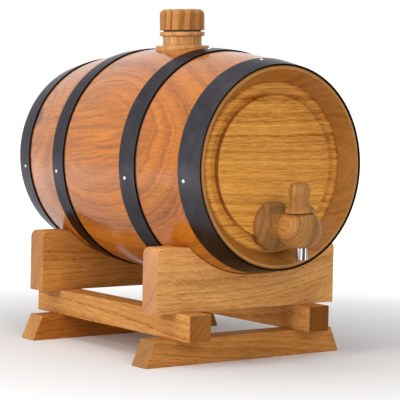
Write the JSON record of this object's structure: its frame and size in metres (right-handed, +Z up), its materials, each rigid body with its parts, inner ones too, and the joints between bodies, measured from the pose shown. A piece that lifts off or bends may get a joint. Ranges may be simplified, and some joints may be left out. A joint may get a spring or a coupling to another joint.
{
  "type": "small drinks barrel on a stand",
  "caption": "Small oak drinks barrel with steel hoops, a turned wooden tap with a turning key and steel spout, a filler neck with a lift-out stopper, and a low oak cradle stand.",
  "frame": {"origin": "middle of the floor area under the whole object, on the plane that its feet stand on", "axes": "+Y along the barrel's axis from the tap's end to the back, +X to the right seen from the tap's end, +Z up"},
  "size_m": [0.214, 0.3312, 0.3081],
  "materials": {
    "log_oak": "turned oak with a clear gloss coat",
    "head_oak": "golden oak with a satin coat",
    "turned_oak": "turned oak, satin",
    "tap_oak": "turned hardwood, satin",
    "stand_oak": "planed oak with a satin coat",
    "cork": "natural cork",
    "seal_rubber": "dark soft washer",
    "hoop_steel": "blue-grey blackened strip, satin",
    "nail_steel": "bright domed nail heads",
    "spout_steel": "polished steel tube",
    "screw_steel": "plain steel wood screws"
  },
  "bodies": {
    "stand": {"front_foot": "stand_oak", "rear_foot": "stand_oak", "left_rail": "stand_oak", "right_rail": "stand_oak", "front_cradle": "stand_oak", "rear_cradle": "stand_oak", "stand_screws": "screw_steel"},
    "barrel": {"barrel_body": "log_oak", "front_head": "head_oak", "rear_head": "head_oak", "filler_neck": "turned_oak", "tap_body": "tap_oak", "key_sleeve": "cork", "front_end_hoop": "hoop_steel", "front_bilge_hoop": "hoop_steel", "rear_bilge_hoop": "hoop_steel", "rear_end_hoop": "hoop_steel", "front_end_nails": "nail_steel", "front_bilge_nails": "nail_steel", "rear_bilge_nails": "nail_steel", "rear_end_nails": "nail_steel"},
    "stopper": {"stopper_cap": "turned_oak", "stopper_cork": "cork", "stopper_seal": "seal_rubber"},
    "key": {"tap_key": "tap_oak", "spout_tube": "spout_steel"}
  },
  "joints": [
    {"name": "barrel_lift", "type": "slide", "parent": "stand", "child": "barrel", "axis": [0, 0, 1], "range_m": [0, 0.05]},
    {"name": "stopper_lift", "type": "slide", "parent": "barrel", "child": "stopper", "axis": [-0.0384, 0, 0.9993], "range_m": [0, 0.04]},
    {"name": "key_turn", "type": "hinge", "parent": "barrel", "child": "key", "pos_m": [-0.0015, -0.148, 0.12024], "axis": [-0.0785, 0, 0.9969], "continuous": true}
  ]
}
